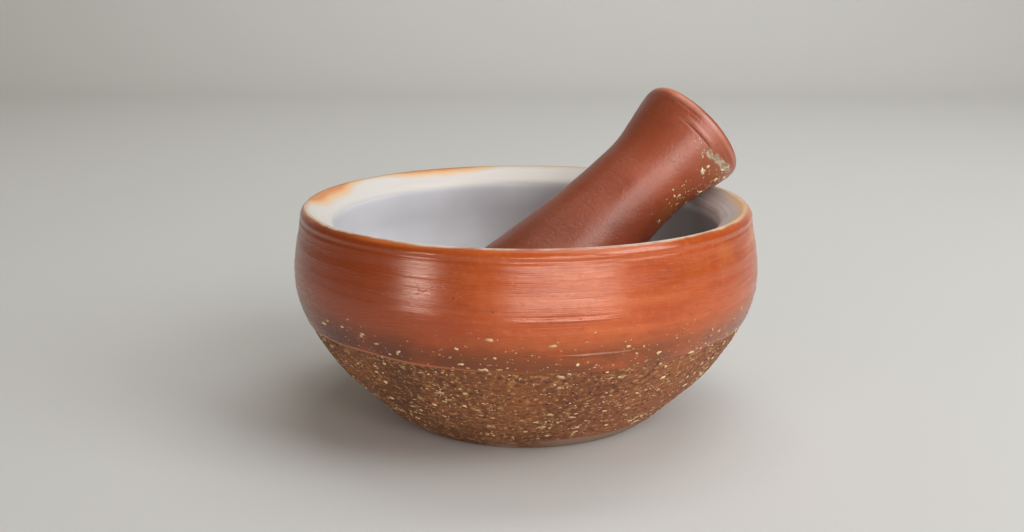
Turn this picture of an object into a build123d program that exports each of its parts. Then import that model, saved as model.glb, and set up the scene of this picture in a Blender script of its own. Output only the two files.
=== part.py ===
"""A wheel-thrown stoneware mortar with its pestle, in millimetres.

The mortar stands on Z = 0 with its axis on +Z. The pestle lies in it, leaning towards +X in the
plane Y = 0: its head is on the floor and its shaft on the rim. Each is one piece of fired clay.
"""

from build123d import *
import math
import os

# Mortar, outside
lip_radius = 77.2
lip_height = 74.0  # top of the lip
lip_rounding = 1.6
wall_at_lip = (-0.05, 1)  # the way the wall runs as it reaches the lip
belly_radius, belly_height = 80.0, 50.5
haunch_radius, haunch_height = 75.6, 35.0  # where the wall turns up towards the belly
base_radius, base_height = 66.0, 20.0  # halfway up the slope above the foot
bevel_radius, bevel_height = 49.8, 3.8  # upper edge of the trimmed bevel round the foot
wall_at_bevel = (1, 1.15)  # the way the wall runs as it leaves the bevel
foot_radius = 44.8
foot_ring_width = 9.0
foot_hollow = 1.6  # depth of the underside inside the foot ring

# Mortar, inside
rim_slope = 30.5  # degrees that the broad rim falls inwards from the lip
mouth_radius = 66.4
mouth_rounding = 3.2
wall_below_mouth = (0.12, -1)  # the way the inner wall runs as it leaves the mouth
hollow_radius, hollow_height = 69.2, 50.0  # widest inside, below the overhang of the mouth
turn_radius, turn_height = 58.5, 27.5  # where the inner wall turns into the floor
floor_height = 12.0

# Pestle, measured along its own axis from the middle of the head
head_radius = 22.2
head_tip = 20.7
neck_radius, neck_at = 19.6, 28.0  # where the head has narrowed to the shaft
shank_radius, shank_at = 17.4, 50.0  # halfway up the shaft
waist_radius, waist_at = 16.8, 66.0
throat_radius, throat_at = 18.4, 80.0  # where the shaft opens into the flared end
flare_radius = 21.6
handle_at_end = (0.1, 1)  # the way the flare runs as it reaches the end
handle_end = 96.5
end_crown = 1.2  # rise of the domed end of the handle
end_rounding = 3.2

# How the pestle rests
lean = 39.0  # degrees above level
head_x, head_z = -6.4, 34.4  # leaves 0.3 under the head and the same at the rim


def make_mortar():
    """The bowl, one turned wall from the foot ring up over the lip and down to the floor."""
    ring_inside = foot_radius - foot_ring_width
    fall = math.radians(rim_slope)
    lip_corner = lip_height + lip_rounding * (math.tan(fall) + 1 / math.cos(fall) - 1)
    mouth_corner = lip_corner - (lip_radius - mouth_radius) * math.tan(fall)
    with BuildPart() as mortar:
        with BuildSketch(Plane.XZ) as section:
            with BuildLine():
                Polyline(
                    (0, foot_hollow),
                    (ring_inside - foot_hollow, foot_hollow),
                    (ring_inside, 0),
                    (foot_radius, 0),
                    (bevel_radius, bevel_height),
                )
                Spline(
                    (bevel_radius, bevel_height),
                    (base_radius, base_height),
                    (haunch_radius, haunch_height),
                    (belly_radius, belly_height),
                    tangents=[wall_at_bevel, (0, 1)],
                )
                Spline(
                    (belly_radius, belly_height),
                    (lip_radius, lip_corner),
                    tangents=[(0, 1), wall_at_lip],
                )
                Line((lip_radius, lip_corner), (mouth_radius, mouth_corner))
                Spline(
                    (mouth_radius, mouth_corner),
                    (hollow_radius, hollow_height),
                    (turn_radius, turn_height),
                    (0, floor_height),
                    tangents=[wall_below_mouth, (-1, 0)],
                )
                Line((0, floor_height), (0, foot_hollow))
            make_face()
            lip = section.vertices().sort_by_distance((lip_radius, lip_corner))[0]
            fillet(lip, lip_rounding)
            mouth = section.vertices().sort_by_distance((mouth_radius, mouth_corner))[0]
            fillet(mouth, mouth_rounding)
        revolve(axis=Axis.Z)
    mortar.part.label = "mortar"
    return mortar.part


def make_pestle():
    """The pestle, turned about an axis that leans towards +X, with its head at the lower end."""
    tilt = math.radians(lean)
    across = (math.sin(tilt), 0, -math.cos(tilt))
    plane = Plane(origin=(head_x, 0, head_z), x_dir=across, z_dir=(0, -1, 0))
    with BuildPart() as pestle:
        with BuildSketch(plane) as section:
            with BuildLine():
                Spline(
                    (0, -head_tip),
                    (head_radius, 0),
                    (neck_radius, neck_at),
                    (shank_radius, shank_at),
                    (waist_radius, waist_at),
                    tangents=[(1, 0), (0, 1)],
                )
                Spline(
                    (waist_radius, waist_at),
                    (throat_radius, throat_at),
                    (flare_radius, handle_end),
                    tangents=[(0, 1), handle_at_end],
                )
                TangentArc((0, handle_end + end_crown), (flare_radius, handle_end), tangent=(1, 0))
                Line((0, handle_end + end_crown), (0, -head_tip))
            make_face()
        revolve(axis=Axis(plane.origin, plane.y_dir))
        fillet(pestle.edges().filter_by(GeomType.CIRCLE).sort_by(Axis.Z)[-1], end_rounding)
    pestle.part.label = "pestle"
    return pestle.part


os.makedirs("parts", exist_ok=True)
mortar = make_mortar()
pestle = make_pestle()
for piece in (mortar, pestle):
    export_step(piece, f"parts/{piece.label}.step")
    print(piece.label, f"{piece.volume / 1000:.1f} cm3")
print("least gap between the two", round(mortar.distance_to(pestle), 3), "mm")
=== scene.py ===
import math

import bpy
import numpy as np
from mathutils import Matrix, Vector


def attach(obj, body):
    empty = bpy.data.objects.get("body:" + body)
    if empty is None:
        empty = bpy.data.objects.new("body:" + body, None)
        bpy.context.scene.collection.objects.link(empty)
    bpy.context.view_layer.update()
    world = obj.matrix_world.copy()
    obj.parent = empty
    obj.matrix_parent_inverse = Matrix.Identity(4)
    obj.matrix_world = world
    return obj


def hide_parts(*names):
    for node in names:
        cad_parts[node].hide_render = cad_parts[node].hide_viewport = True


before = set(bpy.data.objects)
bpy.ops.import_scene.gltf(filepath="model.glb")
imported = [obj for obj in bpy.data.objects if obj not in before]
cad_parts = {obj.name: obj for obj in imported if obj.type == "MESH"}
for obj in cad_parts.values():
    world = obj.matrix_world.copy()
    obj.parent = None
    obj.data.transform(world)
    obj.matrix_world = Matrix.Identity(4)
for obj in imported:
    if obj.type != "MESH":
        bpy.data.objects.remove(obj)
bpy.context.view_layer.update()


# The mortar's wall. It is one piece of gritty stoneware clay, thrown on the wheel from the foot up
# to the lip and down inside to the floor, then trimmed underneath. The throwing leaves a fine
# spiral in it, and the rim is pressed inwards so that it holds back what is being ground.
slip_line = 0.0363  # height to which the mortar was dipped in slip
slip_thickness = 0.00013
lip_top = (0.0755, 0.0, 0.0740)
mouth_edge = 0.0112  # from the lip's top, across the rim, to where it turns down inside

# (radius, height, kind of bend) from the middle of the underside, over the lip, to the floor
wall_section = [
    (0.0000, 0.0016, "VECTOR"),
    (0.0342, 0.0016, "VECTOR"),
    (0.0358, 0.0000, "VECTOR"),
    (0.0440, 0.0000, "VECTOR"),
    (0.0452, 0.0004, "VECTOR"),
    (0.0492, 0.0032, "VECTOR"),
    (0.0502, 0.0042, "AUTO"),
    (0.0582, 0.0120, "AUTO"),
    (0.0660, 0.0200, "AUTO"),
    (0.0716, 0.0280, "AUTO"),
    (0.0757, 0.0352, "AUTO"),
    (0.0786, 0.0420, "AUTO"),
    (0.0800, 0.0505, "AUTO"),
    (0.0792, 0.0605, "AUTO"),
    (0.0778, 0.0680, "AUTO"),
    (0.0775, 0.0708, "AUTO"),
    (0.0768, 0.0729, "AUTO"),
    (0.0755, 0.0740, "AUTO"),
    (0.0741, 0.0734, "AUTO"),
    (0.0700, 0.0709, "AUTO"),
    (0.0675, 0.0694, "AUTO"),
    (0.0666, 0.0685, "AUTO"),
    (0.0666, 0.0672, "AUTO"),
    (0.0678, 0.0610, "AUTO"),
    (0.0691, 0.0530, "AUTO"),
    (0.0675, 0.0440, "AUTO"),
    (0.0617, 0.0330, "AUTO"),
    (0.0567, 0.0240, "AUTO"),
    (0.0520, 0.0158, "AUTO"),
    (0.0430, 0.0130, "AUTO"),
    (0.0280, 0.0121, "AUTO"),
    (0.0000, 0.0120, "AUTO"),
]


def drawn(name, section):
    """A curve in the XZ plane, through the section's points."""
    data = bpy.data.curves.new(name, "CURVE")
    data.dimensions = "3D"
    spline = data.splines.new("BEZIER")
    spline.bezier_points.add(len(section) - 1)
    spline.resolution_u = 24
    for point, (radius, height, kind) in zip(spline.bezier_points, section):
        point.co = (radius, 0, height)
        point.handle_left_type = kind
        point.handle_right_type = kind
    curve = bpy.data.objects.new(name, data)
    bpy.context.scene.collection.objects.link(curve)
    return curve


def share_to(curve, place):
    """The share of a drawn section's length that lies before its point nearest to place."""
    bpy.context.view_layer.update()
    outline = bpy.data.meshes.new_from_object(curve)
    points = np.array([v.co for v in outline.vertices])
    bpy.data.meshes.remove(outline)
    steps = np.linalg.norm(np.diff(points, axis=0), axis=1)
    nearest = np.linalg.norm(points - np.array(place), axis=1).argmin()
    return float(steps[:nearest].sum() / steps.sum())


def add(tree, kind, feeds=None, **settings):
    """Adds a node, sets it up, and feeds its inputs, by name or number, from sockets or values."""
    node = tree.nodes.new(kind)
    for name, value in settings.items():
        setattr(node, name, value)
    for name, value in (feeds or {}).items():
        if isinstance(value, bpy.types.NodeSocket):
            tree.links.new(value, node.inputs[name])
        elif value is not None:
            node.inputs[name].default_value = value
    return node


def maths(tree, operation, *values):
    """One Math node, and its result."""
    return add(tree, "ShaderNodeMath", dict(enumerate(values)), operation=operation).outputs[0]


def ramp(tree, value, start, end, low=0.0, high=1.0):
    """Turns value smoothly from low, at start, to high, at end."""
    feeds = {"Value": value, "From Min": start, "From Max": end, "To Min": low, "To Max": high}
    return add(tree, "ShaderNodeMapRange", feeds, interpolation_type="SMOOTHSTEP").outputs["Result"]


def noise(tree, where, scale, detail=2.0, rough=0.5, seed=0.0):
    """Noise about 0.5, at scale features to the metre. seed moves it to another place."""
    moved = {0: where, 1: (seed, -seed, 0.7 * seed)}
    there = add(tree, "ShaderNodeVectorMath", moved, operation="ADD").outputs[0]
    feeds = {"Vector": there, "Scale": scale, "Detail": detail, "Roughness": rough}
    return add(tree, "ShaderNodeTexNoise", feeds).outputs[0]


def stretched(tree, where, across, up):
    """A place scaled by across in X and Y and by up in Z, to draw a pattern out round the wall."""
    factors = {0: where, 1: (across, across, up)}
    return add(tree, "ShaderNodeVectorMath", factors, operation="MULTIPLY").outputs[0]


def near(tree, value, middle, width):
    """1 where value is at middle, falling smoothly to 0 at a width to each side."""
    apart = maths(tree, "ABSOLUTE", maths(tree, "SUBTRACT", value, middle))
    return ramp(tree, apart, 0.0, width, 1.0, 0.0)


def total(tree, *values):
    """The sum of the values."""
    result = values[0]
    for value in values[1:]:
        result = maths(tree, "ADD", result, value)
    return result


def product(tree, *values):
    """The product of the values."""
    result = values[0]
    for value in values[1:]:
        result = maths(tree, "MULTIPLY", result, value)
    return result


def new_tree(name, sizes):
    """A Geometry Nodes tree that has sizes, {name: kind of socket}, as its named inputs."""
    tree = bpy.data.node_groups.new(name, "GeometryNodeTree")
    tree.interface.new_socket("Geometry", in_out="INPUT", socket_type="NodeSocketGeometry")
    for size, kind in sizes.items():
        tree.interface.new_socket(size, in_out="INPUT", socket_type="NodeSocket" + kind)
    tree.interface.new_socket("Geometry", in_out="OUTPUT", socket_type="NodeSocketGeometry")
    return tree, tree.nodes.new("NodeGroupInput")


def finish_tree(tree, geometry, material):
    """Ends a tree: every instance real, the material on."""
    real = add(tree, "GeometryNodeRealizeInstances", {"Geometry": geometry})
    painted = add(tree, "GeometryNodeSetMaterial", {"Geometry": real.outputs[0], "Material": material})
    tree.links.new(painted.outputs[0], tree.nodes.new("NodeGroupOutput").inputs[0])


def made(name, tree, sizes):
    """Runs a tree on an empty mesh with its named inputs set to sizes, and keeps the plain mesh."""
    shell = bpy.data.objects.new(name, bpy.data.meshes.new(name))
    bpy.context.scene.collection.objects.link(shell)
    modifier = shell.modifiers.new(name, "NODES")
    modifier.node_group = tree
    for item in tree.interface.items_tree:
        if item.in_out == "INPUT" and item.name in sizes:
            modifier[item.identifier] = sizes[item.name]
    bpy.context.view_layer.update()
    mesh = bpy.data.meshes.new_from_object(shell.evaluated_get(bpy.context.evaluated_depsgraph_get()))
    shell.modifiers.remove(modifier)
    shell.data = mesh
    mesh.name = name
    return shell


def stored(tree, geometry, name, value):
    """The geometry with value kept at each of its points under that name."""
    feeds = {"Geometry": geometry, "Name": name, "Value": value}
    return add(tree, "GeometryNodeStoreNamedAttribute", feeds, data_type="FLOAT", domain="POINT").outputs[0]


def turned_tree(name, relief, density):
    """A tree that turns a section about Z. relief(tree, place, angle, past) gives how far the surface
    stands out at each point, where past is the length of section beyond the share given as Start.
    density maps the share of the rows to the share of the section that they cover."""
    sizes = {"Section": "Object", "Rows": "Int", "Columns": "Int", "Start": "Float", "Material": "Material"}
    tree, given = new_tree(name, sizes)
    columns = maths(tree, "ADD", given.outputs["Columns"], 1)
    rows = maths(tree, "ADD", given.outputs["Rows"], 1)
    sheet = add(tree, "GeometryNodeMeshGrid", {"Vertices X": columns, "Vertices Y": rows})
    flat = add(tree, "ShaderNodeSeparateXYZ", {0: add(tree, "GeometryNodeInputPosition").outputs[0]})
    angle = maths(tree, "MULTIPLY_ADD", flat.outputs["X"], math.tau, math.pi)
    spread = add(tree, "ShaderNodeFloatCurve", {"Value": maths(tree, "ADD", flat.outputs["Y"], 0.5)})
    steps = spread.mapping.curves[0].points
    for share, covered in density:
        steps.new(share, covered)
    for step in steps:
        step.handle_type = "VECTOR"
    spread.mapping.update()
    share = spread.outputs[0]
    section = add(tree, "GeometryNodeObjectInfo", {"Object": given.outputs["Section"]}).outputs["Geometry"]
    sampled = add(tree, "GeometryNodeSampleCurve", {"Curves": section, "Factor": share}, mode="FACTOR")
    at = add(tree, "ShaderNodeSeparateXYZ", {0: sampled.outputs["Position"]})
    along = add(tree, "ShaderNodeSeparateXYZ", {0: sampled.outputs["Tangent"]})
    cosine = maths(tree, "COSINE", angle)
    sine = maths(tree, "SINE", angle)

    def round_axis(radius, height):
        feeds = {0: product(tree, radius, cosine), 1: product(tree, radius, sine), 2: height}
        return add(tree, "ShaderNodeCombineXYZ", feeds).outputs[0]

    place = round_axis(at.outputs["X"], at.outputs["Z"])
    outward = round_axis(along.outputs["Z"], product(tree, along.outputs["X"], -1.0))
    length = add(tree, "GeometryNodeCurveLength", {0: section}).outputs[0]
    past = product(tree, maths(tree, "SUBTRACT", share, given.outputs["Start"]), length)
    raised = {0: outward, "Scale": relief(tree, place, angle, past)}
    raised = add(tree, "ShaderNodeVectorMath", raised, operation="SCALE").outputs[0]
    spot = add(tree, "ShaderNodeVectorMath", {0: place, 1: raised}, operation="ADD").outputs[0]
    kept = stored(tree, sheet.outputs[0], "past", past)
    turned = add(tree, "GeometryNodeSetPosition", {"Geometry": kept, "Position": spot}).outputs[0]
    closed = add(tree, "GeometryNodeMergeByDistance", {"Geometry": turned, "Distance": 0.00001}).outputs[0]
    smooth = add(tree, "GeometryNodeSetShadeSmooth", {"Geometry": closed}).outputs[0]
    finish_tree(tree, smooth, given.outputs["Material"])
    return tree


def facing(tree, angle, degrees, width):
    """1 on the side of the piece that faces that way, falling to 0 at width degrees to each side."""
    turn = maths(tree, "COSINE", maths(tree, "SUBTRACT", angle, math.radians(degrees)))
    return ramp(tree, turn, math.cos(math.radians(width)), 1.0)


def above_slip_edge(tree, place, height):
    """How far a place on the outside is above the wavering lower edge of the slip."""
    waver = noise(tree, stretched(tree, place, 18.0, 6.0), 1.0, 2.0, 0.5, 7.7)
    return maths(tree, "SUBTRACT", height, maths(tree, "MULTIPLY_ADD", waver, 0.0060, slip_line - 0.0030))


def wall_relief(tree, place, angle, past):
    """Throwing and brush marks, two scratches, the slip's edge, the rolled lip, bare clay."""
    gouge_height = 0.0524
    burr_height = 0.0418
    height = add(tree, "ShaderNodeSeparateXYZ", {0: place}).outputs["Z"]
    outside = ramp(tree, past, -0.0040, -0.0010, 1.0, 0.0)
    inside = ramp(tree, past, 0.0140, 0.0200)
    standing = ramp(tree, height, 0.0010, 0.0120)
    wobble = maths(tree, "SUBTRACT", noise(tree, place, 9.0, 1.0), 0.5)
    spiral = maths(tree, "SINE", maths(tree, "MULTIPLY_ADD", height, math.tau / 0.0046, angle))
    rings = maths(tree, "SUBTRACT", noise(tree, stretched(tree, place, 9.0, 400.0), 1.0, 2.0, 0.5), 0.5)
    lines = noise(tree, stretched(tree, place, 26.0, 1100.0), 1.0, 2.0, 0.55, 3.1)
    lines = maths(tree, "SUBTRACT", lines, 0.5)
    strength = noise(tree, stretched(tree, place, 20.0, 90.0), 1.0, 1.0, 0.5, 9.4)
    brushed = ramp(tree, strength, 0.35, 0.65, 0.35, 1.0)
    above = above_slip_edge(tree, place, height)
    slipped = ramp(tree, above, -0.0003, 0.0003)
    bead = product(tree, near(tree, above, 0.0004, 0.0007), facing(tree, angle, -165.0, 60.0))
    bare = product(tree, maths(tree, "SUBTRACT", 1.0, slipped), ramp(tree, height, 0.0040, 0.0065))
    grit = maths(tree, "SUBTRACT", noise(tree, place, 420.0, 3.0, 0.65, 1.3), 0.5)
    pits = ramp(tree, noise(tree, place, 300.0, 2.0, 0.5, 9.2), 0.66, 0.78)
    groove = near(tree, past, -0.0046, 0.0010)
    roll = product(tree, near(tree, past, -0.0029, 0.0012), facing(tree, angle, -75.0, 75.0))
    ragged = noise(tree, place, 160.0, 3.0, 0.6, 2.6)
    gouge = maths(tree, "SUBTRACT", height, maths(tree, "MULTIPLY_ADD", ragged, 0.0022, gouge_height))
    gouged = product(tree, facing(tree, angle, -108.0, 12.0), ramp(tree, ragged, 0.36, 0.48))
    burr = maths(tree, "SUBTRACT", height, maths(tree, "MULTIPLY_ADD", ragged, 0.0010, burr_height))
    burred = product(tree, facing(tree, angle, -97.5, 14.0), ramp(tree, ragged, 0.34, 0.46))
    outer = total(
        tree,
        product(tree, rings, 0.00016),
        product(tree, lines, brushed, slipped, 0.00015),
        product(tree, spiral, 0.00002),
        product(tree, slipped, slip_thickness),
        product(tree, bead, 0.00016),
        product(tree, groove, -0.00030),
        product(tree, roll, 0.00022),
        product(tree, near(tree, gouge, 0.0, 0.0004), gouged, 0.00040),
        product(tree, near(tree, gouge, 0.0007, 0.0005), gouged, -0.00036),
        product(tree, near(tree, burr, 0.0, 0.0006), burred, 0.00036),
        product(tree, bare, grit, 0.00055),
        product(tree, bare, pits, -0.00035),
    )
    inner_rings = noise(tree, stretched(tree, place, 5.0, 150.0), 1.0, 2.0, 0.5, 5.5)
    inner = product(tree, maths(tree, "SUBTRACT", inner_rings, 0.5), 0.00040)
    return total(
        tree,
        product(tree, wobble, standing, 0.00035),
        product(tree, outer, outside),
        product(tree, inner, inside),
    )


def shader(name):
    """A new material, with its tree and its Principled shader."""
    material = bpy.data.materials.new(name)
    material.use_nodes = True
    tree = material.node_tree
    return material, tree, tree.nodes["Principled BSDF"]


def blended(tree, share, first, second):
    """From the first colour, where share is 0, to the second, where it is 1."""
    feeds = {"Factor": share, 6: first, 7: second}
    return add(tree, "ShaderNodeMix", feeds, data_type="RGBA").outputs[2]


def colour(red, green, blue):
    """A colour as eyes and cameras give it, 0 to 255, in the shader's own terms."""
    parts = [c / 255 for c in (red, green, blue)]
    return tuple(c / 12.92 if c < 0.04045 else ((c + 0.055) / 1.055) ** 2.4 for c in parts) + (1.0,)


def spots(tree, place, scale, share, size):
    """Small round spots, at scale to the metre, in that share of the places where one could be."""
    cells = add(tree, "ShaderNodeTexVoronoi", {"Vector": place, "Scale": scale})
    picked = add(tree, "ShaderNodeSeparateColor", {0: cells.outputs["Color"]}).outputs[0]
    kept = maths(tree, "LESS_THAN", picked, share)
    return product(tree, ramp(tree, cells.outputs["Distance"], 0.5 * size, size, 1.0, 0.0), kept)


def slip_colour(tree, place, angle, height, past, streaks):
    """Iron-red slip: brushed on in lines, thin and brown low down, flashed yellow under the lip.
    The left side is painted darker as painted shade, and the slip's edge there carries a painted highlight.
    """
    patches = noise(tree, place, 30.0, 3.0, 0.55, 2.2)
    bands = noise(tree, stretched(tree, place, 18.0, 190.0), 1.0, 3.0, 0.6, 4.0)
    fine = noise(tree, place, 480.0, 4.0, 0.65, 5.0)
    slip = blended(tree, ramp(tree, patches, 0.32, 0.68), colour(164, 66, 22), colour(180, 80, 30))
    slip = blended(tree, ramp(tree, bands, 0.45, 0.70, 0.0, 0.45), slip, colour(198, 102, 56))
    slip = blended(tree, ramp(tree, bands, 0.45, 0.28, 0.0, 0.35), slip, colour(154, 60, 20))
    slip = blended(tree, ramp(tree, streaks, 0.52, 0.72, 0.0, 0.25), slip, colour(144, 56, 24))
    slip = blended(tree, ramp(tree, fine, 0.52, 0.72, 0.0, 0.32), slip, colour(206, 116, 66))
    slip = blended(tree, ramp(tree, fine, 0.47, 0.30, 0.0, 0.42), slip, colour(142, 56, 20))
    # Painted shade: the side on the left, turned away from the right window, is painted a darker red-brown.
    painted_shade_side = facing(tree, angle, -178.0, 66.0)
    slip = blended(tree, product(tree, painted_shade_side, 0.85), slip, colour(128, 48, 10))
    thin = ramp(tree, height, slip_line + 0.0030, slip_line + 0.0150, 1.0, 0.0)
    mottle = noise(tree, stretched(tree, place, 60.0, 110.0), 1.0, 3.0, 0.6, 6.3)
    # The thin, browner slip low down is real. On the left side it is painted darker still, as painted shade.
    thin_slip_and_painted_shade = blended(tree, painted_shade_side, colour(120, 62, 28), colour(84, 34, 8))
    slip = blended(tree, product(tree, thin, ramp(tree, mottle, 0.25, 0.60, 0.3, 1.0)), slip, thin_slip_and_painted_shade)
    above = above_slip_edge(tree, place, height)
    # Painted highlight: a light line along the slip's raised edge on the front-left side.
    bead = product(tree, near(tree, above, 0.0005, 0.0006), facing(tree, angle, -165.0, 60.0))
    slip = blended(tree, product(tree, bead, 0.8), slip, colour(178, 104, 66))
    flash = product(tree, facing(tree, angle, -44.0, 40.0), ramp(tree, past, -0.0160, -0.0050))
    flash = product(tree, flash, ramp(tree, patches, 0.38, 0.60), 0.9)
    slip = blended(tree, flash, slip, colour(216, 136, 58))
    edge = product(tree, ramp(tree, past, -0.0026, -0.0012), ramp(tree, patches, 0.35, 0.60, 0.15, 0.6))
    return blended(tree, edge, slip, colour(214, 122, 60))


def bare_clay_colour(tree, place, angle, height, speckle):
    """Gritty brown clay, painted lighter as painted light on the side facing the right window, with a
    smoother, greyer bevel trimmed round the foot, whose front also carries a painted reflection of the pale
    cloth.
    """
    body = noise(tree, place, 45.0, 4.0, 0.6, 8.0)
    clay = blended(tree, ramp(tree, body, 0.35, 0.68), colour(92, 50, 22), colour(132, 76, 38))
    # Painted light: the side facing the right window is painted a lighter brown.
    clay = blended(tree, product(tree, facing(tree, angle, -60.0, 60.0), 0.6), clay, colour(150, 84, 50))
    clay = blended(tree, ramp(tree, speckle, 0.53, 0.68, 0.0, 0.85), clay, colour(180, 134, 84))
    clay = blended(tree, ramp(tree, speckle, 0.47, 0.34, 0.0, 0.85), clay, colour(56, 28, 12))
    bevel = ramp(tree, height, 0.0060, 0.0042)
    # The bevel is greyer in random patches of the trimmed clay. On its front it is painted grey as a painted
    # reflection of the pale cloth.
    greyer_and_painted_reflection = maths(tree, "MAXIMUM", facing(tree, angle, -84.0, 34.0), ramp(tree, body, 0.48, 0.62, 0.0, 0.8))
    return blended(tree, product(tree, bevel, greyer_and_painted_reflection), clay, colour(140, 116, 98))


def glaze_colour(tree, place, angle, past):
    """White liner glaze, haloed orange where it thins over the lip, brushed and grey further in,
    with the pestle's shadow painted on the inside wall beneath it.
    """
    drift = noise(tree, place, 34.0, 3.0, 0.6, 3.0)
    halo = maths(
        tree,
        "MAXIMUM",
        maths(tree, "MAXIMUM", facing(tree, angle, 142.0, 24.0), facing(tree, angle, 92.0, 22.0)),
        product(tree, facing(tree, angle, -36.0, 34.0), 0.55),
    )
    reach = total(
        tree,
        product(tree, halo, 0.0036),
        product(tree, facing(tree, angle, 143.0, 17.0), 0.0026),
        product(tree, maths(tree, "SUBTRACT", drift, 0.5), -0.0050),
        product(tree, facing(tree, angle, -118.0, 68.0), -0.0016),
        0.0002,
    )
    beyond = maths(tree, "SUBTRACT", past, reach)
    brush = noise(tree, stretched(tree, place, 16.0, 1300.0), 1.0, 3.0, 0.6, 11.0)
    glaze = blended(tree, ramp(tree, beyond, -0.0040, -0.0010), colour(214, 132, 66), colour(228, 188, 142))
    glaze = blended(tree, ramp(tree, beyond, -0.0016, 0.0022), glaze, colour(216, 212, 207))
    worn = product(tree, facing(tree, angle, -14.0, 36.0), ramp(tree, brush, 0.46, 0.66, 0.0, 0.55))
    worn = product(tree, worn, ramp(tree, past, 0.0030, 0.0050))
    glaze = blended(tree, worn, glaze, colour(158, 152, 146))
    glaze = blended(tree, ramp(tree, brush, 0.55, 0.80, 0.0, 0.20), glaze, colour(180, 172, 164))
    cloudy = ramp(tree, noise(tree, place, 30.0, 3.0, 0.5, 12.0), 0.3, 0.7)
    grey = blended(tree, cloudy, colour(214, 215, 219), colour(228, 229, 233))
    # Painted shadow: the pestle's shadow on the inside wall on the right, darkening the grey glaze below the
    # mouth.
    down_from_mouth = ramp(tree, past, mouth_edge + 0.0006, mouth_edge + 0.0038)
    painted_pestle_shadow = product(tree, facing(tree, angle, 0.0, 55.0), down_from_mouth, 0.75)
    grey = blended(tree, painted_pestle_shadow, grey, colour(128, 119, 113))
    return blended(tree, ramp(tree, past, mouth_edge - 0.0002, mouth_edge + 0.0002), glaze, grey), brush


def fired_clay():
    """Slip on the upper wall, bare clay below it, and a white liner glaze over the lip."""
    material, tree, surface = shader("mortar_clay_slip_and_glaze")
    place = add(tree, "ShaderNodeTexCoord").outputs["Object"]
    parts = add(tree, "ShaderNodeSeparateXYZ", {0: place})
    height = parts.outputs["Z"]
    angle = maths(tree, "ARCTAN2", parts.outputs["Y"], parts.outputs["X"])
    past = add(tree, "ShaderNodeAttribute", attribute_name="past").outputs["Fac"]

    streaks = noise(tree, stretched(tree, place, 22.0, 1700.0), 1.0, 3.0, 0.6, 6.0)
    speckle = noise(tree, stretched(tree, place, 560.0, 900.0), 1.0, 3.0, 0.7, 1.0)
    slip = slip_colour(tree, place, angle, height, past, streaks)
    clay = bare_clay_colour(tree, place, angle, height, speckle)
    ragged = maths(tree, "MULTIPLY_ADD", noise(tree, place, 500.0, 3.0, 0.6), 0.0016, -0.0008)
    above = maths(tree, "ADD", above_slip_edge(tree, place, height), ragged)
    slipped = ramp(tree, above, -0.0001, 0.0003)
    outer = blended(tree, slipped, clay, slip)
    iron = spots(tree, place, 330.0, 0.06, 0.14)
    outer = blended(tree, product(tree, iron, 0.5), outer, colour(74, 34, 18))

    glaze, brush = glaze_colour(tree, place, angle, past)
    creep = maths(tree, "MULTIPLY_ADD", noise(tree, place, 60.0, 3.0, 0.6, 1.0), 0.0024, -0.0012)
    glazed = ramp(tree, maths(tree, "ADD", past, creep), -0.0012, -0.0002)
    tree.links.new(blended(tree, glazed, outer, glaze), surface.inputs["Base Color"])

    satin = ramp(tree, streaks, 0.3, 0.7, 0.20, 0.30)
    shiny = {"Factor": near(tree, past, -0.0024, 0.0036), 2: satin, 3: 0.16}
    satin = add(tree, "ShaderNodeMix", shiny).outputs[0]
    outer_rough = add(tree, "ShaderNodeMix", {"Factor": slipped, 2: 0.80, 3: satin}).outputs[0]
    glaze_rough = ramp(tree, past, 0.0000, 0.0030, 0.24, 0.42)
    rough = add(tree, "ShaderNodeMix", {"Factor": glazed, 2: outer_rough, 3: glaze_rough}).outputs[0]
    tree.links.new(rough, surface.inputs["Roughness"])
    surface.inputs["Specular IOR Level"].default_value = 0.80
    surface.inputs["Specular Tint"].default_value = (1.0, 0.82, 0.72, 1.0)

    pinholes = ramp(tree, noise(tree, place, 900.0, 2.0, 0.5, 2.0), 0.62, 0.74)
    hairs = noise(tree, stretched(tree, place, 40.0, 3000.0), 1.0, 2.0, 0.6, 14.0)
    bared = maths(tree, "SUBTRACT", 1.0, slipped)
    marks = total(
        tree,
        product(tree, streaks, slipped, 0.45),
        product(tree, hairs, slipped, 0.38),
        product(tree, iron, -0.8),
        product(tree, pinholes, -0.25),
        product(tree, speckle, bared, 1.5),
    )
    marks = product(tree, marks, maths(tree, "SUBTRACT", 1.0, glazed))
    marks = total(tree, marks, product(tree, brush, glazed, 0.20))
    bump = add(tree, "ShaderNodeBump", {"Strength": 1.0, "Distance": 0.00012, "Height": marks})
    tree.links.new(bump.outputs[0], surface.inputs["Normal"])
    return material


wall_curve = drawn("wall_section", wall_section)
wall_rows = [(0.04, 0.120), (0.20, 0.265), (0.74, 0.425), (0.84, 0.520)]
wall_tree = turned_tree("thrown_wall", wall_relief, wall_rows)
mortar_wall = made("mortar_wall", wall_tree, {
    "Section": wall_curve,
    "Rows": 460,
    "Columns": 208,
    "Start": share_to(wall_curve, lip_top),
    "Material": fired_clay(),
})
bpy.data.objects.remove(wall_curve)
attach(mortar_wall, "mortar")
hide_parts("mortar")


# The grit in the mortar's clay. It is crushed feldspar, wedged into the clay before throwing. The
# firing leaves its grains as low cream domes, drawn out round the wall where trimming dragged them.
def centred(tree, vector):
    """A vector of shares from 0 to 1, moved to run from -0.5 to 0.5."""
    return add(tree, "ShaderNodeVectorMath", {0: vector, 1: (0.5, 0.5, 0.5)}, operation="SUBTRACT").outputs[0]


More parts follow.
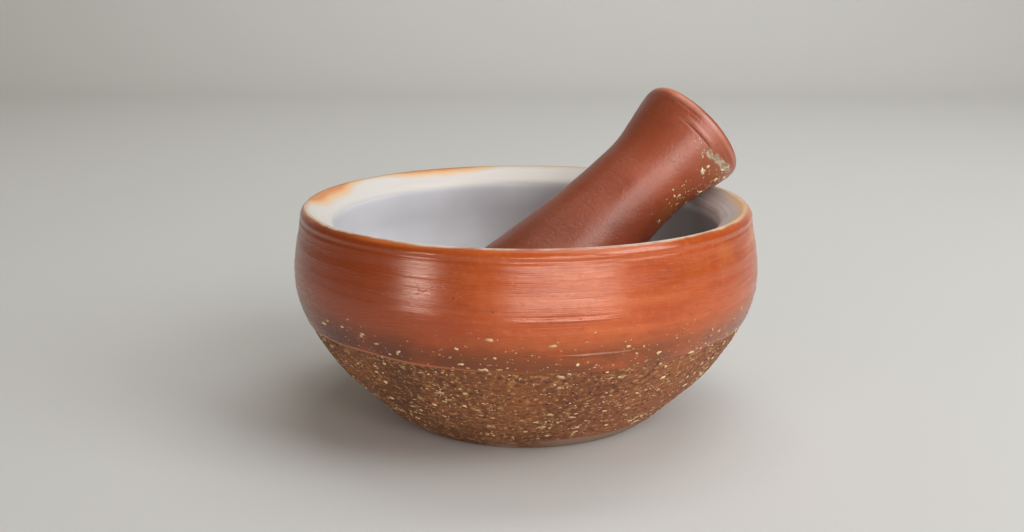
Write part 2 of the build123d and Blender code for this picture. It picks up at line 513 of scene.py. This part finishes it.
def grit_tree(name, crowding, drag):
    """A tree that beds low grains in a finished piece. crowding(tree, place) gives how closely they
    lie, as a share of Most to the square metre. drag(tree, place) is the way they are drawn out."""
    sizes = {
        "Ground": "Object",
        "Most": "Float",
        "Smallest": "Float",
        "Largest": "Float",
        "Seed": "Int",
        "Material": "Material",
    }
    tree, given = new_tree(name, sizes)

    def chance(number, kind="FLOAT"):
        feeds = {"Seed": maths(tree, "ADD", given.outputs["Seed"], number)}
        node = add(tree, "FunctionNodeRandomValue", feeds, data_type=kind)
        return node.outputs[0 if kind == "FLOAT_VECTOR" else 1]

    ground = add(tree, "GeometryNodeObjectInfo", {"Object": given.outputs["Ground"]}).outputs["Geometry"]
    place = add(tree, "GeometryNodeInputPosition").outputs[0]
    spread = add(tree, "GeometryNodeDistributePointsOnFaces", {
        "Mesh": ground,
        "Density": product(tree, given.outputs["Most"], crowding(tree, place)),
        "Seed": given.outputs["Seed"],
    })
    range_of_sizes = maths(tree, "SUBTRACT", given.outputs["Largest"], given.outputs["Smallest"])
    share = maths(tree, "POWER", chance(1), 6.0)
    size = maths(tree, "MULTIPLY_ADD", share, range_of_sizes, given.outputs["Smallest"])
    kept = stored(tree, spread.outputs["Points"], "tone", chance(2))
    kept = stored(tree, kept, "size", size)
    skew = centred(tree, chance(3, "FLOAT_VECTOR"))
    dragged = add(tree, "ShaderNodeVectorMath", {0: drag(tree, place), 1: skew}, operation="ADD")
    turn = add(tree, "FunctionNodeAxesToRotation", {0: spread.outputs["Normal"], 1: dragged.outputs[0]})
    stretch = maths(tree, "MULTIPLY_ADD", chance(4), 1.6, 0.9)
    extent = add(tree, "ShaderNodeCombineXYZ", {
        0: product(tree, size, stretch),
        1: size,
        2: maths(tree, "MULTIPLY_ADD", size, 0.22, 0.00004),
    }).outputs[0]
    grain = add(tree, "GeometryNodeMeshUVSphere", {"Segments": 7, "Rings": 3, "Radius": 1.0}).outputs[0]
    bedded = add(tree, "GeometryNodeInstanceOnPoints", {
        "Points": kept,
        "Instance": grain,
        "Rotation": turn.outputs[0],
        "Scale": extent,
    }).outputs[0]
    real = add(tree, "GeometryNodeRealizeInstances", {"Geometry": bedded}).outputs[0]
    bumps = {"Vector": place, "Scale": 2200.0, "Detail": 1.0}
    broken = centred(tree, add(tree, "ShaderNodeTexNoise", bumps).outputs["Color"])
    own_size = add(tree, "GeometryNodeInputNamedAttribute", {"Name": "size"}).outputs[0]
    offset = {0: broken, "Scale": product(tree, own_size, 1.5)}
    offset = add(tree, "ShaderNodeVectorMath", offset, operation="SCALE").outputs[0]
    uneven = add(tree, "GeometryNodeSetPosition", {"Geometry": real, "Offset": offset}).outputs[0]
    smooth = add(tree, "GeometryNodeSetShadeSmooth", {"Geometry": uneven}).outputs[0]
    finish_tree(tree, smooth, given.outputs["Material"])
    return tree


def wall_grit_crowding(tree, place):
    """Thick below the slip, thinning out up through it, none on the trimmed bevel or inside."""
    height = add(tree, "ShaderNodeSeparateXYZ", {0: place}).outputs["Z"]
    past = add(tree, "GeometryNodeInputNamedAttribute", {"Name": "past"}).outputs[0]
    above = above_slip_edge(tree, place, height)
    under_slip = ramp(tree, above, -0.0010, 0.0015, 1.0, 0.0)
    through_slip = product(tree, ramp(tree, above, 0.0, 0.0170, 1.0, 0.0), 0.80)
    clumps = ramp(tree, noise(tree, place, 90.0, 2.0, 0.5, 4.1), 0.30, 0.70, 0.15, 1.85)
    return product(
        tree,
        maths(tree, "MAXIMUM", under_slip, through_slip),
        clumps,
        ramp(tree, height, 0.0045, 0.0080),
        maths(tree, "LESS_THAN", past, -0.0180),
    )


def round_the_wall(tree, place):
    """The way that the wheel turned, at a place on the wall."""
    parts = add(tree, "ShaderNodeSeparateXYZ", {0: place})
    back = product(tree, parts.outputs["Y"], -16.0)
    return add(tree, "ShaderNodeCombineXYZ", {0: back, 1: product(tree, parts.outputs["X"], 16.0)}).outputs[0]


def feldspar(name, dull, bright):
    """Stone from a dull to a bright colour, a little glassy."""
    material, tree, surface = shader(name)
    place = add(tree, "ShaderNodeTexCoord").outputs["Object"]
    tone = add(tree, "ShaderNodeAttribute", attribute_name="tone").outputs["Fac"]
    mottled = total(tree, tone, product(tree, noise(tree, place, 1500.0, 2.0), 0.6), -0.3)
    tree.links.new(blended(tree, mottled, dull, bright), surface.inputs["Base Color"])
    surface.inputs["Roughness"].default_value = 0.5
    return material


mortar_grit = made("mortar_grit", grit_tree("wall_grit", wall_grit_crowding, round_the_wall), {
    "Ground": mortar_wall,
    "Most": 200000.0,
    "Smallest": 0.00016,
    "Largest": 0.00076,
    "Seed": 7,
    "Material": feldspar("mortar_feldspar", colour(150, 104, 62), colour(226, 200, 152)),
})
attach(mortar_grit, "mortar")


# The pestle. It is a club of the same clay, with a round head to grind with, a waist for the hand
# and a flared end, dipped whole in a darker slip. It lies in the mortar, and leans on the rim.
lean = math.radians(39.0)
head_at = Vector((-0.0064, 0.0, 0.0344))  # middle of the head

# (radius, height above the middle of the head, kind of bend) from the tip up to the handle's end
club_section = [
    (0.0000, -0.0207, "AUTO"),
    (0.0086, -0.0195, "AUTO"),
    (0.0170, -0.0142, "AUTO"),
    (0.0213, -0.0052, "AUTO"),
    (0.0223, 0.0050, "AUTO"),
    (0.0209, 0.0180, "AUTO"),
    (0.0196, 0.0280, "AUTO"),
    (0.0178, 0.0450, "AUTO"),
    (0.0168, 0.0620, "AUTO"),
    (0.0169, 0.0720, "AUTO"),
    (0.0184, 0.0800, "AUTO"),
    (0.01985, 0.0860, "AUTO"),
    (0.0207, 0.0900, "AUTO"),
    (0.0211, 0.0932, "AUTO"),
    (0.0205, 0.0957, "AUTO"),
    (0.0186, 0.0968, "AUTO"),
    (0.0110, 0.0974, "AUTO"),
    (0.0000, 0.0977, "AUTO"),
]


def deposit(tree, place, angle, height):
    """1 where pale slurry has dried in lumps on the underside of the flared end, 0 elsewhere."""
    ragged = noise(tree, place, 380.0, 4.0, 0.70, 5.0)
    turned = maths(tree, "MULTIPLY_ADD", angle, -0.0052, height)
    where = product(tree, near(tree, turned, 0.0957, 0.0042), facing(tree, angle, -72.0, 50.0))
    return ramp(tree, maths(tree, "MULTIPLY_ADD", where, 0.39, ragged), 0.76, 0.84)


def club_relief(tree, place, angle, past):
    """Soft unevenness of a shape made by hand, a line tooled below the flared end, dried slurry."""
    height = add(tree, "ShaderNodeSeparateXYZ", {0: place}).outputs["Z"]
    wobble = maths(tree, "SUBTRACT", noise(tree, place, 22.0, 1.0, 0.5, 4.4), 0.5)
    rubbed = noise(tree, stretched(tree, place, 110.0, 30.0), 1.0, 2.0, 0.5, 2.0)
    rings = noise(tree, stretched(tree, place, 25.0, 700.0), 1.0, 2.0, 0.5, 8.8)
    pores = ramp(tree, noise(tree, place, 520.0, 2.0, 0.5, 6.0), 0.68, 0.80)
    tooled = facing(tree, angle, -114.0, 27.0)
    lumps = product(tree, deposit(tree, place, angle, height), noise(tree, place, 420.0, 2.0, 0.6, 2.0))
    return total(
        tree,
        product(tree, wobble, 0.00030),
        product(tree, maths(tree, "SUBTRACT", rubbed, 0.5), 0.00023),
        product(tree, maths(tree, "SUBTRACT", rings, 0.5), 0.00005),
        product(tree, pores, -0.00003),
        product(tree, near(tree, height, 0.0885, 0.0005), tooled, -0.00045),
        product(tree, near(tree, height, 0.0900, 0.0013), tooled, 0.00026),
        product(tree, near(tree, height, 0.0925, 0.0008), facing(tree, angle, -100.0, 60.0), -0.00018),
        product(tree, lumps, 0.00080),
    )


def dark_slip():
    """Red-brown slip, orange at the end's edge, with the slurry dried on it; painted highlights lie along
    that edge and on the flat below it, and painted shade on the shaft's upper-left side.
    """
    material, tree, surface = shader("pestle_slip")
    where = add(tree, "ShaderNodeTexCoord").outputs["Object"]
    stood = add(tree, "ShaderNodeMapping", {
        "Vector": where,
        "Location": head_at,
        "Rotation": (0.0, math.pi / 2 - lean, 0.0),
    }, vector_type="TEXTURE")
    place = stood.outputs[0]
    parts = add(tree, "ShaderNodeSeparateXYZ", {0: place})
    height = parts.outputs["Z"]
    angle = maths(tree, "ARCTAN2", parts.outputs["Y"], parts.outputs["X"])

    patches = noise(tree, place, 40.0, 3.0, 0.6, 1.0)
    clouds = noise(tree, stretched(tree, place, 120.0, 80.0), 1.0, 4.0, 0.6, 2.0)
    grain = noise(tree, stretched(tree, place, 700.0, 1100.0), 1.0, 2.0, 0.6, 3.0)
    slip = blended(tree, ramp(tree, patches, 0.32, 0.66), colour(142, 62, 34), colour(156, 72, 42))
    slip = blended(tree, ramp(tree, clouds, 0.52, 0.75, 0.0, 0.35), slip, colour(170, 88, 58))
    slip = blended(tree, ramp(tree, clouds, 0.45, 0.28, 0.0, 0.40), slip, colour(122, 50, 26))
    # Painted shade: the upper-left side of the shaft is painted darker.
    slip = blended(tree, product(tree, facing(tree, angle, 178.0, 70.0), 0.6), slip, colour(124, 52, 24))
    slip = blended(tree, ramp(tree, grain, 0.56, 0.72, 0.0, 0.25), slip, colour(104, 44, 28))
    edge = product(tree, near(tree, height, 0.0950, 0.0020), facing(tree, angle, 178.0, 60.0))
    slip = blended(tree, product(tree, edge, 0.85), slip, colour(206, 112, 54))
    # Painted highlight: the flat facet below the end is painted pale pink where it faces the front windows.
    flat = product(tree, near(tree, height, 0.0902, 0.0014), facing(tree, angle, -113.0, 24.0))
    slip = blended(tree, product(tree, flat, 0.45), slip, colour(184, 128, 112))
    # Painted highlight: a pale pink streak along the end's rounded edge.
    painted_edge_highlight = product(tree, near(tree, height, 0.0945, 0.0014), facing(tree, angle, -100.0, 80.0))
    slip = blended(tree, product(tree, painted_edge_highlight, 0.35), slip, colour(200, 146, 132))
    thin = product(tree, facing(tree, angle, -45.0, 50.0), ramp(tree, height, 0.0480, 0.0640))
    slip = blended(tree, product(tree, thin, ramp(tree, clouds, 0.40, 0.60), 0.5), slip, colour(140, 84, 40))
    iron = spots(tree, place, 420.0, 0.10, 0.20)
    slip = blended(tree, product(tree, iron, 0.30), slip, colour(84, 36, 24))
    dried = deposit(tree, place, angle, height)
    slurry = blended(tree, ramp(tree, grain, 0.35, 0.65), colour(128, 110, 84), colour(182, 168, 142))
    slip = blended(tree, product(tree, dried, 0.9), slip, slurry)
    tree.links.new(slip, surface.inputs["Base Color"])
    satin = ramp(tree, clouds, 0.3, 0.7, 0.32, 0.42)
    rough = add(tree, "ShaderNodeMix", {"Factor": dried, 2: satin, 3: 0.75}).outputs[0]
    tree.links.new(rough, surface.inputs["Roughness"])
    surface.inputs["Specular IOR Level"].default_value = 0.95
    surface.inputs["Specular Tint"].default_value = (1.0, 0.86, 0.80, 1.0)
    marks = total(
        tree,
        product(tree, grain, 0.65),
        product(tree, ramp(tree, noise(tree, place, 800.0, 2.0, 0.5, 9.0), 0.60, 0.72), -0.35),
        product(tree, iron, -0.3),
        product(tree, clouds, 0.6),
    )
    bump = add(tree, "ShaderNodeBump", {"Strength": 1.0, "Distance": 0.00012, "Height": marks})
    tree.links.new(bump.outputs[0], surface.inputs["Normal"])
    return material


club_curve = drawn("club_section", club_section)
pestle_club = made("pestle_club", turned_tree("thrown_club", club_relief, [(0.42, 0.55), (0.80, 0.82)]), {
    "Section": club_curve,
    "Rows": 400,
    "Columns": 220,
    "Start": 0.0,
    "Material": dark_slip(),
})
bpy.data.objects.remove(club_curve)


# The grit on the pestle. The same feldspar has stuck to the underside of its shaft in the kiln, in
# a thin trail of cream grains that thickens towards the flared end.
def club_grit_crowding(tree, place):
    """A trail along the underside, thicker towards the end and beside the dried slurry."""
    parts = add(tree, "ShaderNodeSeparateXYZ", {0: place})
    angle = maths(tree, "ARCTAN2", parts.outputs["Y"], parts.outputs["X"])
    clumps = ramp(tree, noise(tree, place, 120.0, 2.0, 0.5, 4.1), 0.35, 0.60, 0.1, 1.8)
    trail = ramp(tree, parts.outputs["Z"], 0.0500, 0.0840)
    short_of_end = ramp(tree, parts.outputs["Z"], 0.0925, 0.0905)
    beside_slurry = near(tree, parts.outputs["Z"], 0.0865, 0.0060)
    beside_slurry = product(tree, beside_slurry, facing(tree, angle, -84.0, 34.0), 0.6)
    along = product(tree, facing(tree, angle, -58.0, 30.0), trail)
    return product(tree, maths(tree, "MAXIMUM", along, beside_slurry), clumps, short_of_end)


def along_the_club(tree, place):
    """The way along the pestle."""
    return add(tree, "ShaderNodeCombineXYZ", {2: 0.4}).outputs[0]


pestle_grit = made("pestle_grit", grit_tree("club_grit", club_grit_crowding, along_the_club), {
    "Ground": pestle_club,
    "Most": 260000.0,
    "Smallest": 0.00018,
    "Largest": 0.00095,
    "Seed": 3,
    "Material": feldspar("pestle_feldspar", colour(176, 140, 98), colour(226, 208, 170)),
})
for piece in (pestle_club, pestle_grit):
    piece.data.transform(Matrix.Translation(head_at) @ Matrix.Rotation(math.pi / 2 - lean, 4, "Y"))
    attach(piece, "pestle")
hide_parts("pestle")


# The studio: a pale sheet that sweeps up behind, lit by soft windows and a weak warm sky.
camera_side = math.radians(24.5)  # the pestle's lean is turned this far away from the camera


def studio_place(right, away, up):
    """A place to the right of the mortar, away from the camera and up, as the camera sees it."""
    across = Vector((math.cos(camera_side), -math.sin(camera_side), 0))
    ahead = Vector((math.sin(camera_side), math.cos(camera_side), 0))
    return across * right + ahead * away + Vector((0, 0, up))


def swept_sheet():
    """The pale sheet that the mortar stands on."""
    data = bpy.data.meshes.new("sheet")
    reach, back, tall, turn = 3.0, 1.1, 1.8, 0.35
    corners = np.linspace(0, math.pi / 2, 16)
    bend = [(back + turn * math.sin(a), turn - turn * math.cos(a)) for a in corners]
    profile = [(-reach, 0.0)] + bend + [(back + turn, tall)]
    vertices = [studio_place(side, away, up) for away, up in profile for side in (-reach, reach)]
    faces = [(2 * i, 2 * i + 1, 2 * i + 3, 2 * i + 2) for i in range(len(profile) - 1)]
    data.from_pydata(vertices, [], faces)
    data.polygons.foreach_set("use_smooth", [True] * len(faces))
    sheet = bpy.data.objects.new("sheet", data)
    bpy.context.scene.collection.objects.link(sheet)
    material, _, surface = shader("pale_cloth")
    surface.inputs["Base Color"].default_value = colour(210, 209, 206)
    surface.inputs["Roughness"].default_value = 0.9
    data.materials.append(material)


def window(name, stands, lights, width, tall, power, tint):
    """A soft window that stands at one place in the studio and lights another."""
    data = bpy.data.lights.new(name, "AREA")
    data.shape = "RECTANGLE"
    data.size, data.size_y = width, tall
    data.energy = power
    data.color = tint
    light = bpy.data.objects.new(name, data)
    light.location = studio_place(*stands)
    light.rotation_euler = (light.location - studio_place(*lights)).to_track_quat("Z", "Y").to_euler()
    bpy.context.scene.collection.objects.link(light)


swept_sheet()
window("right_window", (0.84, -0.48, 0.66), (0, 0, 0.04), 0.62, 0.7, 6.9, (0.92, 0.97, 1.0))
window("front_window", (0.34, -1.10, 0.12), (0, 0, 0.05), 1.05, 0.20, 5.2, (1.0, 0.96, 0.95))
window("high_front_window", (0.42, -1.00, 0.55), (0, 0, 0.07), 0.42, 0.26, 2.1, (1.0, 0.95, 0.97))
window("left_window", (-0.88, -0.74, 0.12), (0, 0, 0.05), 0.24, 0.18, 2.0, (1.0, 0.96, 0.95))
window("top_window", (0.38, -0.20, 1.15), (0.14, -0.05, 0), 0.8, 0.8, 3.1, (0.92, 0.97, 1.0))
window("backdrop_window", (0.3, 0.40, 1.30), (0.1, 1.45, 0.30), 1.2, 0.6, 9.0, (0.98, 0.99, 1.0))

world = bpy.data.worlds.new("sky")
world.use_nodes = True
world.node_tree.nodes["Background"].inputs["Color"].default_value = (1.0, 0.84, 0.62, 1.0)
world.node_tree.nodes["Background"].inputs["Strength"].default_value = 0.16
bpy.context.scene.world = world
bpy.context.scene.view_settings.view_transform = "Standard"

camera_back = 0.411  # how far the camera stands in front of the mortar's axis
camera_left = 0.0047
camera_up = 0.1512
camera_dip = 13.8  # degrees that it looks down
camera_data = bpy.data.cameras.new("camera")
camera_data.sensor_width = 36.0
camera_data.lens = 42.2
camera = bpy.data.objects.new("camera", camera_data)
camera.location = (
    -math.sin(camera_side) * camera_back - math.cos(camera_side) * camera_left,
    -math.cos(camera_side) * camera_back + math.sin(camera_side) * camera_left,
    camera_up,
)
camera.rotation_euler = (math.radians(90.0 - camera_dip), 0.0, -camera_side)
bpy.context.scene.collection.objects.link(camera)
bpy.context.scene.camera = camera
